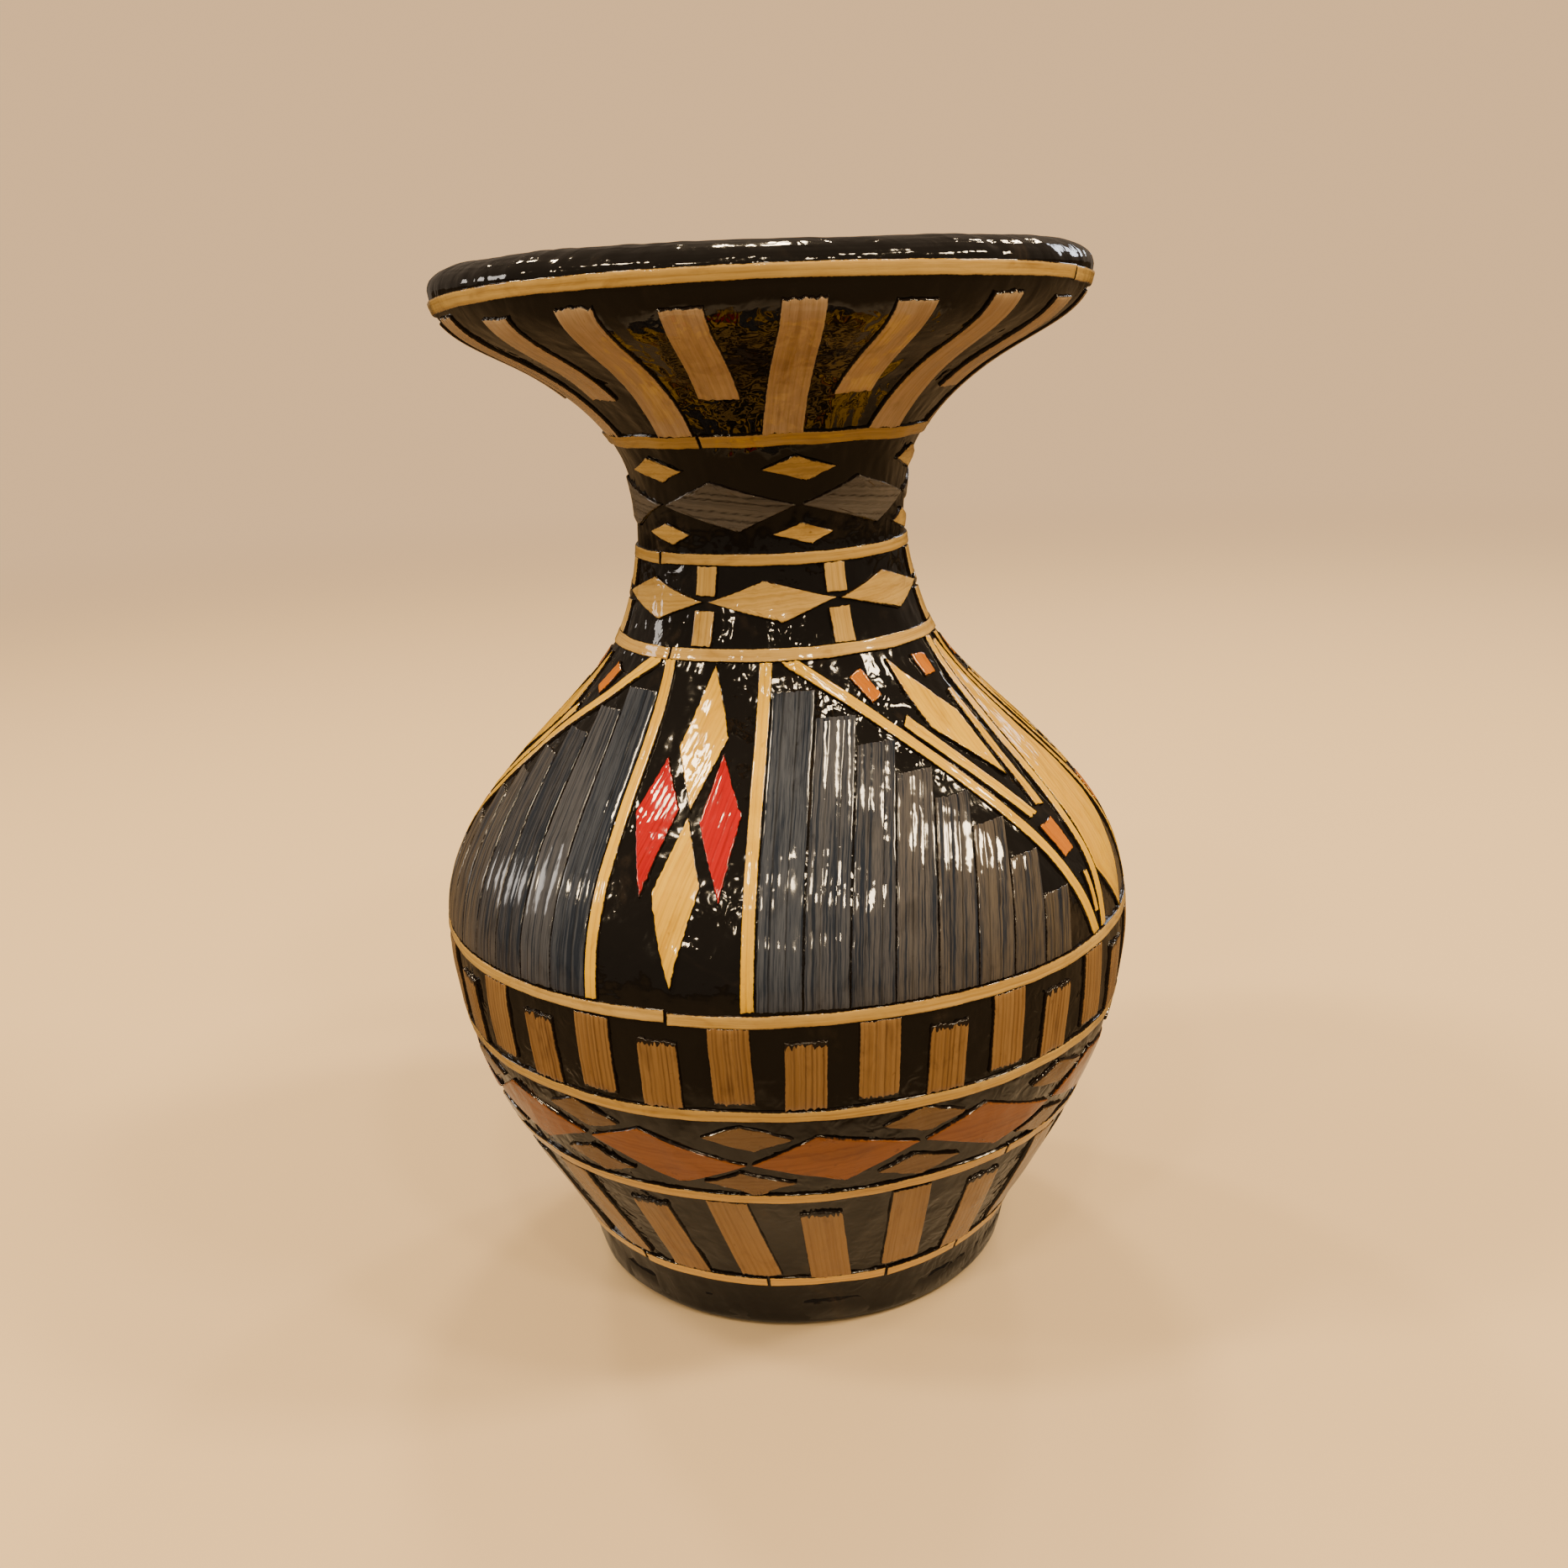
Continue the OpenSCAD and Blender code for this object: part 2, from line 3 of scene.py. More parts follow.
import bpy
import numpy as np
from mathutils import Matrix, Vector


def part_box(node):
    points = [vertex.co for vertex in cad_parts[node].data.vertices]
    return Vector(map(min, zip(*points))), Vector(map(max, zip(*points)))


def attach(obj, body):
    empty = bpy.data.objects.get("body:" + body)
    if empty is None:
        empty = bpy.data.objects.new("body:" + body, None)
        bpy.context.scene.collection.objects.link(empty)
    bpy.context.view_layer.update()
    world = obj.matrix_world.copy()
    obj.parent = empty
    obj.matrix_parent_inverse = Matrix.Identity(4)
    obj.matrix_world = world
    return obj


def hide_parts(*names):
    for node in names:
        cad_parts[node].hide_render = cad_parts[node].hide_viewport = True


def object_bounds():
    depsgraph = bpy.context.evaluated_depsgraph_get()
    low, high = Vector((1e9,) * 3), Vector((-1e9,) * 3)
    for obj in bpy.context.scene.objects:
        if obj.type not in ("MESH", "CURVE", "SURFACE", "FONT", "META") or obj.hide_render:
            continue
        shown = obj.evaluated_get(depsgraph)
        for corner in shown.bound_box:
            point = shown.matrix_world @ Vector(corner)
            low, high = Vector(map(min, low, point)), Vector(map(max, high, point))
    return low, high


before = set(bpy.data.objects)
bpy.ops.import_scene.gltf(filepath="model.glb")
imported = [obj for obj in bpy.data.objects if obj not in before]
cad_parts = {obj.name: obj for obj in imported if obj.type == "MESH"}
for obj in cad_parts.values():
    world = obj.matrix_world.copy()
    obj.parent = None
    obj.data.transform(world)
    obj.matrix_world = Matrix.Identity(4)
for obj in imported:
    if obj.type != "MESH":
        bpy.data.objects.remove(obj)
cad_low, cad_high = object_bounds()
mm = 0.001

# --- Camera ---------------------------------------------------------------------------------
# A close view from a little over the mouth, as someone bending to a shelf sees the vase. The
# camera is tipped down, and turned a touch about its own axis so that the vase leans left.
camera_height = cad_high.z * 0.930
camera_away = 314.6 * mm
camera_tip = math.radians(16.03)
camera_turn = math.radians(-2.443)

camera = bpy.data.objects.new("camera", bpy.data.cameras.new("camera"))
camera.data.sensor_width = 36.0
camera.data.lens = 36.08
camera.data.clip_start = 0.01
camera.location = (0.39 * mm, -camera_away, camera_height)
camera.rotation_mode = "ZYX"
camera.rotation_euler = (math.radians(90) - camera_tip, 0.0, camera_turn)
bpy.context.scene.collection.objects.link(camera)
bpy.context.scene.camera = camera

# --- Clay pot -------------------------------------------------------------------------------
# A thrown and fired clay vase with a rounded foot and a wide flared mouth. It is painted black
# by brush and drowned in clear gloss lacquer, so its surface is full of soft lumps and streaks.
pot_turns = 480
pot_lump = 0.16 * mm
pot_brush = 0.05 * mm


def cad_edges(node):
    """The edges of a CAD node's triangles, as an array of edge by end by x, y, z."""
    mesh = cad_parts[node].data
    mesh.calc_loop_triangles()
    spots = np.empty(len(mesh.vertices) * 3, np.float32)
    mesh.vertices.foreach_get("co", spots)
    corners = np.empty(len(mesh.loop_triangles) * 3, np.int32)
    mesh.loop_triangles.foreach_get("vertices", corners)
    triangles = spots.reshape(-1, 3)[corners.reshape(-1, 3)].astype(float)
    return np.stack([triangles, np.roll(triangles, -1, axis=1)], axis=2).reshape(-1, 2, 3)


def radii_at(edges, level):
    """Distances from the axis where edges pass a level: the crossing is start + (end - start) *
    (level - start height) / (end height - start height)."""
    low, high = edges[:, :, 2].min(1), edges[:, :, 2].max(1)
    crossing = edges[(low <= level) & (high > level)]
    share = (level - crossing[:, 0, 2]) / (crossing[:, 1, 2] - crossing[:, 0, 2])
    spots = crossing[:, 0] + (crossing[:, 1] - crossing[:, 0]) * share[:, None]
    return np.hypot(spots[:, 0], spots[:, 1])


pot_edges = cad_edges("clay_pot")
pot_top = pot_edges[:, :, 2].max()
rim_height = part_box("rim_band")[1].z
eased = (1 - np.cos(np.linspace(0, math.pi / 2, 9))) * 3 * mm
pot_levels = np.concatenate([
    eased[:-1] + 0.01 * mm,
    np.arange(3 * mm, rim_height - 0.3 * mm, 0.5 * mm),
    rim_height + (pot_top - rim_height) * np.sin(np.linspace(0, math.pi / 2, 13)) - 0.02 * mm])
crossed = [radii_at(pot_edges, level) for level in pot_levels]
outer_radii = np.array([radii.max() for radii in crossed])
inner_radii = np.array([radii.min() for radii in crossed])


def eased_curve(values, passes, ends):
    """Rounds the corners of a curve: each point moves to a quarter, half, quarter mean with its
    neighbours, pass after pass, while a few points at each end stay."""
    values = values.copy()
    for _ in range(passes):
        near = (values[:-2] + 2 * values[1:-1] + values[2:]) / 4
        values[ends:-ends] = near[ends - 1:1 - ends]
    return values


outer_radii = eased_curve(outer_radii, 30, 14)


def wall_radius(height):
    """Radius of the wall at a height, along the pot's own outline."""
    return np.interp(height, pot_levels, outer_radii)


wall_slopes = np.gradient(outer_radii, pot_levels)


def wall_slope(height):
    """Change of the wall's radius with height."""
    return np.interp(height, pot_levels, wall_slopes)


def waves(azimuth, height, seed, count, turns, rises):
    """A smooth random field of about -1 to 1 round and up the wall: a sum of sine waves whose
    turns round the pot are whole numbers, so that it closes on itself."""
    draw = np.random.default_rng(seed)
    total = 0.0
    for _ in range(count):
        around, upward = draw.integers(-turns, turns + 1), draw.uniform(-rises, rises) / mm
        total = total + np.sin(around * azimuth + upward * height + draw.uniform(0, 2 * math.pi))
    return total / math.sqrt(count)


def wall_lumps(azimuth, height):
    """How far the hand-made wall stands out from its true outline."""
    return pot_lump * waves(azimuth, height, 3, 14, 14, 0.2)


def on_wall(azimuth, height, out):
    """A point on the wall, at an azimuth from -Y and a height, moved out along the wall's normal:
    x = r sin(azimuth), y = -r cos(azimuth), where r grows and the height drops with the slope."""
    slope = wall_slope(height)
    level = 1 / np.hypot(1, slope)
    away = out + wall_lumps(azimuth, height)
    radius = wall_radius(height) + away * level
    lift = height - away * level * slope
    return np.stack([radius * np.sin(azimuth), -radius * np.cos(azimuth), lift], -1)


def add_mesh(name, points, faces, attributes):
    """Makes an object at the origin from points, a list of face arrays and named attributes."""
    mesh = bpy.data.meshes.new(name)
    mesh.vertices.add(len(points))
    mesh.vertices.foreach_set("co", points.astype(np.float32).ravel())
    sizes = np.concatenate([np.full(len(f), f.shape[1]) for f in faces])
    mesh.loops.add(int(sizes.sum()))
    mesh.loops.foreach_set("vertex_index", np.concatenate([f.ravel() for f in faces]).astype(np.int32))
    mesh.polygons.add(len(sizes))
    mesh.polygons.foreach_set("loop_start", (np.cumsum(sizes) - sizes).astype(np.int32))
    mesh.polygons.foreach_set("use_smooth", np.ones(len(sizes), bool))
    for label, values in attributes.items():
        kind = "FLOAT_VECTOR" if values.ndim == 2 else "FLOAT"
        key = "vector" if values.ndim == 2 else "value"
        mesh.attributes.new(label, kind, "POINT").data.foreach_set(key, values.astype(np.float32).ravel())
    mesh.update(calc_edges=True)
    piece = bpy.data.objects.new(name, mesh)
    bpy.context.scene.collection.objects.link(piece)
    return piece


def add_node(tree, kind, **sockets):
    """Adds a shader node. A socket's value is a number, a colour, or another node's output."""
    made = tree.nodes.new(kind)
    for label, value in sockets.items():
        socket = made.inputs[int(label[1:])] if label[0] == "_" else made.inputs[label.replace("_", " ")]
        if isinstance(value, bpy.types.NodeSocket):
            tree.links.new(value, socket)
        else:
            socket.default_value = value
    return made


def sums(tree, operation, *terms):
    """A Math node's output."""
    made = add_node(tree, "ShaderNodeMath", **{f"_{k}": term for k, term in enumerate(terms)})
    made.operation = operation
    return made.outputs[0]


def spread(tree, vector, sizes):
    """A vector scaled along each of its three axes."""
    made = add_node(tree, "ShaderNodeVectorMath", _0=vector, _1=sizes)
    made.operation = "MULTIPLY"
    return made.outputs[0]


def noise(tree, vector, scale, detail=2.0, rough=0.5, distort=0.0):
    """A Noise Texture's factor."""
    settings = {"Scale": scale, "Detail": detail, "Roughness": rough, "Distortion": distort}
    return add_node(tree, "ShaderNodeTexNoise", Vector=vector, **settings).outputs[0]


def ramp(tree, value, low, high, out_low=0.0, out_high=1.0):
    """Value from low to high taken to out_low to out_high along a smooth step, and held past both."""
    limits = {"From_Min": low, "From_Max": high, "To_Min": out_low, "To_Max": out_high}
    made = add_node(tree, "ShaderNodeMapRange", Value=value, **limits)
    made.interpolation_type = "SMOOTHSTEP"
    return made.outputs[0]


def blend(tree, share, first, second):
    """A mix of two colours."""
    made = add_node(tree, "ShaderNodeMix")
    made.data_type = "RGBA"
    for index, value in ((0, share), (6, first), (7, second)):
        if isinstance(value, bpy.types.NodeSocket):
            tree.links.new(value, made.inputs[index])
        else:
            made.inputs[index].default_value = value
    return made.outputs[2]


def new_group(name, inputs, outputs):
    """A shader node group with named inputs and outputs, and its two end nodes."""
    group = bpy.data.node_groups.new(name, "ShaderNodeTree")
    for label, kind, start in inputs:
        socket = group.interface.new_socket(label, in_out="INPUT", socket_type=kind)
        if start is not None:
            socket.default_value = start
    for label, kind in outputs:
        group.interface.new_socket(label, in_out="OUTPUT", socket_type=kind)
    return group, group.nodes.new("NodeGroupInput"), group.nodes.new("NodeGroupOutput")


# The lacquer lies in lumps and runs over paint and straw alike, so it is one shared effect.
lacquer, ends_in, ends_out = new_group(
    "lacquer_lumps",
    [("Place", "NodeSocketVector", None), ("Lumps", "NodeSocketFloat", 1.0),
     ("Specks", "NodeSocketFloat", 1.0)],
    [("Height", "NodeSocketFloat"), ("Roughness", "NodeSocketFloat")])
place = ends_in.outputs["Place"]
broad = noise(lacquer, spread(lacquer, place, (1, 1, 0.6)), 150.0, 1.5, 0.4, 0.3)
close = noise(lacquer, spread(lacquer, place, (1, 1, 0.7)), 400.0, 1.0, 0.5, 0.5)
speck = ramp(lacquer, noise(lacquer, place, 1300.0, 1.0), 0.68, 0.82)
lumps = sums(lacquer, "MULTIPLY_ADD", broad, 0.60, sums(lacquer, "MULTIPLY", close, 0.13))
lumps = sums(lacquer, "MULTIPLY", lumps, ends_in.outputs["Lumps"])
specks = sums(lacquer, "MULTIPLY", sums(lacquer, "MULTIPLY", speck, 0.008), ends_in.outputs["Specks"])
lacquer.links.new(sums(lacquer, "ADD", lumps, specks), ends_out.inputs["Height"])
smear = ramp(lacquer, noise(lacquer, place, 60.0, 3.0), 0.35, 0.7, 0.05, 0.11)
lacquer.links.new(smear, ends_out.inputs["Roughness"])


def new_material(name):
    """A material with its Principled shader, ready for links."""
    material = bpy.data.materials.new(name)
    material.use_nodes = True
    shader = material.node_tree.nodes["Principled BSDF"]
    shader.inputs["IOR"].default_value = 1.5
    return material, material.node_tree, shader


def bump(tree, height):
    """A normal from a height in millimetres."""
    return add_node(tree, "ShaderNodeBump", Strength=1.0, Distance=mm, Height=height).outputs["Normal"]


def black_ground():
    """Black paint under lacquer: brown-black with thin brown where the brush starved it, streaks
    drawn out round the pot and strongest on the lip, and patches of curdled lumps below the neck."""
    material, tree, shader = new_material("black_ground")
    place = add_node(tree, "ShaderNodeTexCoord").outputs["Object"]
    brushed = add_node(tree, "ShaderNodeAttribute")
    brushed.attribute_name = "brush"
    fine = noise(tree, spread(tree, brushed.outputs["Vector"], (90, 90, 1500)), 1.0, 2.0, 0.5, 0.3)
    coarse = noise(tree, spread(tree, brushed.outputs["Vector"], (70, 70, 620)), 1.0, 1.0, 0.5, 0.3)
    curdled = noise(tree, place, 300.0, 1.0, 0.5, 1.2)
    rise = add_node(tree, "ShaderNodeSeparateXYZ", Vector=place).outputs["Z"]
    patch = ramp(tree, noise(tree, place, 34.0, 1.0), 0.46, 0.60, 0.02, 0.30)
    upper = ramp(tree, rise, rim_height - 52 * mm, rim_height - 36 * mm, 1.0, 0.2)
    patch = sums(tree, "MULTIPLY", patch, upper)
    lip = ramp(tree, rise, rim_height - 1 * mm, rim_height + 1 * mm, 0.02, 0.22)
    thin = ramp(tree, noise(tree, place, 75.0, 4.0, 0.6, 1.0), 0.56, 0.78)
    colour = blend(tree, thin, (0.0060, 0.0052, 0.0050, 1), (0.026, 0.019, 0.014, 1))
    coat = add_node(tree, "ShaderNodeGroup")
    coat.node_tree = lacquer
    tree.links.new(place, coat.inputs["Place"])
    coat.inputs["Lumps"].default_value = 1.2
    height = sums(tree, "MULTIPLY_ADD", fine, 0.004, coat.outputs["Height"])
    height = sums(tree, "MULTIPLY_ADD", coarse, lip, height)
    height = sums(tree, "MULTIPLY_ADD", curdled, patch, height)
    tree.links.new(colour, shader.inputs["Base Color"])
    tree.links.new(coat.outputs["Roughness"], shader.inputs["Roughness"])
    tree.links.new(bump(tree, height), shader.inputs["Normal"])
    return material


def build_pot():
    """The pot as one closed skin: its outline is carried round the axis, up the outside, over the
    lip and down the inside, and the two ends close at a point on the axis."""
    top = len(pot_levels) - 1
    floor = np.argmax(inner_radii > 5 * mm)
    rows = np.r_[0:8, 8:len(pot_levels) - 13:2, len(pot_levels) - 13:top]
    inside = np.r_[top - 1:len(pot_levels) - 14:-1, len(pot_levels) - 14:floor:-5, floor]
    radius = np.r_[outer_radii[rows], (outer_radii[top] + inner_radii[top]) / 2, inner_radii[inside]]
    height = np.r_[pot_levels[rows], pot_top, pot_levels[inside]]
    height[0] = 0.0
    along = np.r_[0, np.cumsum(np.hypot(np.diff(radius), np.diff(height)))]
    tangent = np.stack([np.gradient(radius), np.gradient(height)])
    tangent /= np.hypot(*tangent)
    azimuth = np.linspace(0, 2 * math.pi, pot_turns, endpoint=False)
    angle, level = np.meshgrid(azimuth, height, indexing="ij")
    rest = np.clip(level / (4 * mm), 0, 1)
    away = (wall_lumps(angle, level) + pot_brush * waves(angle, level, 5, 40, 90, 0.9)) * rest
    reach = radius + away * tangent[1]
    lift = height - away * tangent[0]
    walls = np.stack([reach * np.sin(angle), -reach * np.cos(angle), np.maximum(lift, 0)], -1)
    walls[:, 0, 2] = 0.0
    count = len(height)
    points = np.concatenate([walls.reshape(-1, 3), [[0, 0, 0], [0, 0, height[-1]]]])
    column = np.arange(pot_turns)[:, None] * count
    after = (np.arange(pot_turns)[:, None] + 1) % pot_turns * count
    row = np.arange(count - 1)
    quads = np.stack([column + row, after + row, after + row + 1, column + row + 1], -1).reshape(-1, 4)
    base, hollow = pot_turns * count, pot_turns * count + 1
    first, following = column[:, 0], after[:, 0]
    foot = np.stack([following, first, np.full(pot_turns, base)], -1)
    bottom = np.stack([first + count - 1, following + count - 1, np.full(pot_turns, hollow)], -1)
    reel = 20 * mm
    brush = [np.sin(angle) * reel, np.cos(angle) * reel, np.broadcast_to(along, angle.shape)]
    brush = np.stack(brush, -1)
    brush = np.concatenate([brush.reshape(-1, 3), [[0, 0, 0], [0, 0, along[-1]]]])
    return add_mesh("painted_pot", points, [quads, foot, bottom], {"brush": brush})


pot = build_pot()
pot.data.materials.append(black_ground())
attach(pot, "root")
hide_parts("clay_pot")

# --- Straw rings ----------------------------------------------------------------------------
# Narrow strips of split straw, bent round the pot and butted end to end, part the pattern into
# bands. Hand laying leaves them a little wavy, with a step or a crack where two ends meet.
cad_thick = 0.6 * mm
straw_thick = 0.5 * mm
edge_round = 0.22 * mm
under_paint = 0.12 * mm


def shares(length, step):
    """Shares from 0 to 1 along a length: close together over the rounded edges, then even."""
    rim = np.array([0, 0.05, 0.13, 0.25]) * mm
    if length < 4 * rim[-1]:
        return np.linspace(0, 1, 7)
    middle = np.linspace(rim[-1], length - rim[-1], max(2, int(round((length - 2 * rim[-1]) / step))) + 1)
    return np.concatenate([rim[:-1], middle, length - rim[:-1][::-1]]) / length


def jag(count, size, draw):
    """A torn edge: a random offset for each point, a share of it carried over to the next."""
    rough = draw.normal(0, 1, count + 2)
    return size * (0.25 * rough[:-2] + 0.6 * rough[1:-1] + 0.25 * rough[2:])


def sheet(azimuth, height, across, along, bare, border, dip, dark, seed, tint):
    """One flattened piece of straw as a closed skin over a grid of two parameters. Its top stands
    out by its thickness less the dip of its furrows, times a quarter circle at the border, and its
    back lies just under the paint. Bare is the distance in from the paint on its edges. Returns
    points, faces and attributes."""
    rise = np.sqrt(1 - (1 - np.clip(border / edge_round, 0, 1)) ** 2)
    swell = 0.05 * mm * waves(azimuth, height, seed % 97 + 11, 8, 60, 0.6)
    top = on_wall(azimuth, height, (straw_thick + swell - dip) * rise)
    back = on_wall(azimuth, height, -under_paint)
    wide, tall = azimuth.shape
    index = np.arange(wide * tall).reshape(wide, tall)
    quads = np.stack([index[:-1, :-1], index[1:, :-1], index[1:, 1:], index[:-1, 1:]], -1).reshape(-1, 4)
    loop = np.concatenate([index[:-1, 0], index[-1, :-1], index[:0:-1, -1], index[0, :0:-1]])
    onward = np.roll(loop, -1)
    under = wide * tall
    sides = np.stack([onward, loop, loop + under, onward + under], -1)
    points = np.concatenate([top.reshape(-1, 3), back.reshape(-1, 3)])
    grain = np.stack([across, along, np.full(across.shape, seed * 7.3 * mm)], -1).reshape(-1, 3)
    flat = {"grain": np.concatenate([grain, grain])}
    for label, values in (("edge", bare / mm), ("dark", dark), ("tint", np.full(across.shape, tint))):
        flat[label] = np.concatenate([values.ravel(), values.ravel()])
    return points, np.concatenate([quads, quads[:, ::-1] + under, sides]), flat


def add_sheets(name, sheets, material, node):
    """Joins the sheets of one kind into a piece that stands for its CAD node."""
    starts = np.cumsum([0] + [len(points) for points, _, _ in sheets])
    points = np.concatenate([points for points, _, _ in sheets])
    faces = np.concatenate([quads + start for (_, quads, _), start in zip(sheets, starts)])
    flat = {
        label: np.concatenate([attributes[label] for _, _, attributes in sheets])
        for label in sheets[0][2]}
    piece = add_mesh(name, points, [faces], flat)
    piece.data.materials.append(material)
    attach(piece, "root")
    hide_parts(node)
    return piece


# Straw's own look: lengthwise fibres, darker ribs, brown stains, and paint caught at the edges.
fibres, ends_in, ends_out = new_group(
    "straw_fibres",
    [("Grain", "NodeSocketVector", None), ("Edge", "NodeSocketFloat", 1.0), ("Dark", "NodeSocketFloat", 0.0),
     ("Tint", "NodeSocketFloat", 0.0), ("Pale", "NodeSocketColor", None), ("Deep", "NodeSocketColor", None),
     ("Stain", "NodeSocketColor", None), ("Line", "NodeSocketFloat", 0.5), ("Stains", "NodeSocketFloat", 0.4),
     ("Paint", "NodeSocketFloat", 0.22)],
    [("Color", "NodeSocketColor"), ("Height", "NodeSocketFloat")])
grain = ends_in.outputs["Grain"]
hair = noise(fibres, spread(fibres, grain, (5200, 160, 1000)), 1.0, 3.0, 0.65)
line = noise(fibres, spread(fibres, grain, (1700, 24, 1000)), 1.0, 2.0, 0.5)
band = noise(fibres, spread(fibres, grain, (420, 14, 1000)), 1.0, 1.0, 0.5)
cloud = noise(fibres, spread(fibres, grain, (260, 90, 1000)), 1.0, 4.0, 0.6, 0.8)
spots = ramp(fibres, noise(fibres, spread(fibres, grain, (900, 500, 1000)), 1.0, 2.0), 0.68, 0.8)
lines = sums(fibres, "ADD", ramp(fibres, line, 0.46, 0.66), ramp(fibres, hair, 0.40, 0.66, 0.0, 0.75))
deep = sums(fibres, "MULTIPLY", lines, ends_in.outputs["Line"])
deep = sums(fibres, "ADD", deep, sums(fibres, "MULTIPLY", ramp(fibres, band, 0.4, 0.7), 0.3))
deep = sums(fibres, "ADD", deep, ends_in.outputs["Tint"])
colour = blend(fibres, sums(fibres, "MINIMUM", deep, 1.0), ends_in.outputs["Pale"], ends_in.outputs["Deep"])
stained = sums(fibres, "ADD", ramp(fibres, cloud, 0.5, 0.75), spots)
stained = sums(fibres, "MULTIPLY", stained, ends_in.outputs["Stains"])
stained = sums(fibres, "MINIMUM", sums(fibres, "ADD", stained, ends_in.outputs["Dark"]), 1.0)
colour = blend(fibres, stained, colour, ends_in.outputs["Stain"])
ragged = noise(fibres, spread(fibres, grain, (1400, 1400, 1000)), 1.0, 3.0)
ragged = sums(fibres, "MULTIPLY_ADD", ragged, 0.30, -0.15)
inward = sums(fibres, "ADD", ends_in.outputs["Edge"], ragged)
bare = ramp(fibres, sums(fibres, "SUBTRACT", inward, ends_in.outputs["Paint"]), -0.05, 0.10)
colour = blend(fibres, bare, (0.012, 0.008, 0.006, 1), colour)
fibres.links.new(colour, ends_out.inputs["Color"])
fibres.links.new(sums(fibres, "MULTIPLY", line, 0.006), ends_out.inputs["Height"])


def straw_material(name, pale, deep, stain, line=0.5, stains=0.4, paint=0.22, lumps=0.8):
    """Straw under gloss lacquer, in a dye's colours."""
    material, tree, shader = new_material(name)
    look = add_node(tree, "ShaderNodeGroup")
    look.node_tree = fibres
    for label in ("Grain", "Edge", "Dark", "Tint"):
        read = add_node(tree, "ShaderNodeAttribute")
        read.attribute_name = label.lower()
        tree.links.new(read.outputs["Vector" if label == "Grain" else "Fac"], look.inputs[label])
    for label, value in (("Pale", (*pale, 1)), ("Deep", (*deep, 1)), ("Stain", (*stain, 1)), ("Line", line),
                         ("Stains", stains), ("Paint", paint)):
        look.inputs[label].default_value = value
    coat = add_node(tree, "ShaderNodeGroup")
    coat.node_tree = lacquer
    tree.links.new(add_node(tree, "ShaderNodeTexCoord").outputs["Object"], coat.inputs["Place"])
    coat.inputs["Lumps"].default_value = lumps
    coat.inputs["Specks"].default_value = 0.5
    tree.links.new(look.outputs["Color"], shader.inputs["Base Color"])
    tree.links.new(coat.outputs["Roughness"], shader.inputs["Roughness"])
    height = sums(tree, "ADD", coat.outputs["Height"], look.outputs["Height"])
    tree.links.new(bump(tree, height), shader.inputs["Normal"])
    return material


cream = straw_material(
    "cream_straw", (0.70, 0.45, 0.13), (0.50, 0.29, 0.065), (0.20, 0.09, 0.02), paint=0.15)


def furrows(across, width, pitch, rise, stain, draw):
    """Ribs side by side across a flattened straw. Between the furrows at u = 0 and u = 1 the
    surface dips below its crest by (2u - 1)^2 times the rise, in millimetres, and each furrow has
    a dark line, a bell curve of the distance from it. Returns the dip and the darkness."""
    count = max(1, round(width / (pitch * mm)))
    edges = np.linspace(0, width, count + 1)
    edges[1:-1] += draw.uniform(-0.24, 0.24, count - 1) * width / count
    rises = draw.uniform(0.6, 1.2, count) * rise * mm
    marks = np.r_[0, draw.uniform(0.35, 1.0, count - 1), 0] * stain
    spans = draw.uniform(0.10, 0.17, count + 1) * mm
    rib = np.clip(np.searchsorted(edges, across) - 1, 0, count - 1)
    share = np.clip((across - edges[rib]) / (edges[rib + 1] - edges[rib]), 0, 1)
    dip = (2 * share - 1) ** 2 * rises[rib]
    dark = sum(m * np.exp(-((across - e) / s) ** 2) for m, e, s in zip(marks, edges, spans))
    return dip, np.clip(dark, 0, 1)


def ring_heights(node):
    """Lowest and highest point of a ring where it lies on the wall: the ring's own extent, less
    what its thickness adds by leaning out along the wall's normal."""
    low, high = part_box(node)[0].z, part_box(node)[1].z
    tilts = [wall_slope(level) / np.hypot(1, wall_slope(level)) for level in (low, high)]
    return low + cad_thick * max(tilts[0], 0), high + cad_thick * min(tilts[1], 0)


def ring_strip(node, start, stop, wander, arch, step, seed, tint):
    """One length of ring from azimuth start to stop, in degrees: across is up the wall, along runs
    round it, and the strip wanders up and down, climbs by step from end to end, and arches by
    arch * (cos(2 * azimuth) - 0.35)."""
    draw = np.random.default_rng(seed)
    low, high = ring_heights(node)
    radius = wall_radius((low + high) / 2)
    steep = np.hypot(1, wall_slope((low + high) / 2))
    length = math.radians(stop - start) * radius
    u = shares(length, 1.1 * mm)
    v = shares((high - low) * steep, 0.26 * mm)
    azimuth, rise = np.meshgrid(math.radians(start) + math.radians(stop - start) * u, v, indexing="ij")
    middle = (low + high) / 2 + wander * mm * waves(azimuth, 0 * azimuth, seed, 5, 6, 0)
    middle = middle + step * mm * (u[:, None] - 0.5)
    middle = middle + arch * mm * (np.cos(2 * azimuth) - 0.35)
    half = (high - low) / 2 * (1 + 0.05 * waves(azimuth, 0 * azimuth, seed + 1, 6, 16, 0))
    fray = jag(len(u), 0.035 * mm, draw)[:, None] * (1 - rise) + jag(len(u), 0.035 * mm, draw)[:, None] * rise
    height = middle + half * (2 * rise - 1) + fray
    across, along = rise * (high - low) * steep, u[:, None] * length + 0 * rise
    border = np.minimum(np.minimum(across, (high - low) * steep - across), np.minimum(along, length - along))
    dip, dark = furrows(across, (high - low) * steep, 1.2, 0.05, 0.3, draw)
    return sheet(azimuth, height, across, along, border, border, dip, dark, seed, tint)


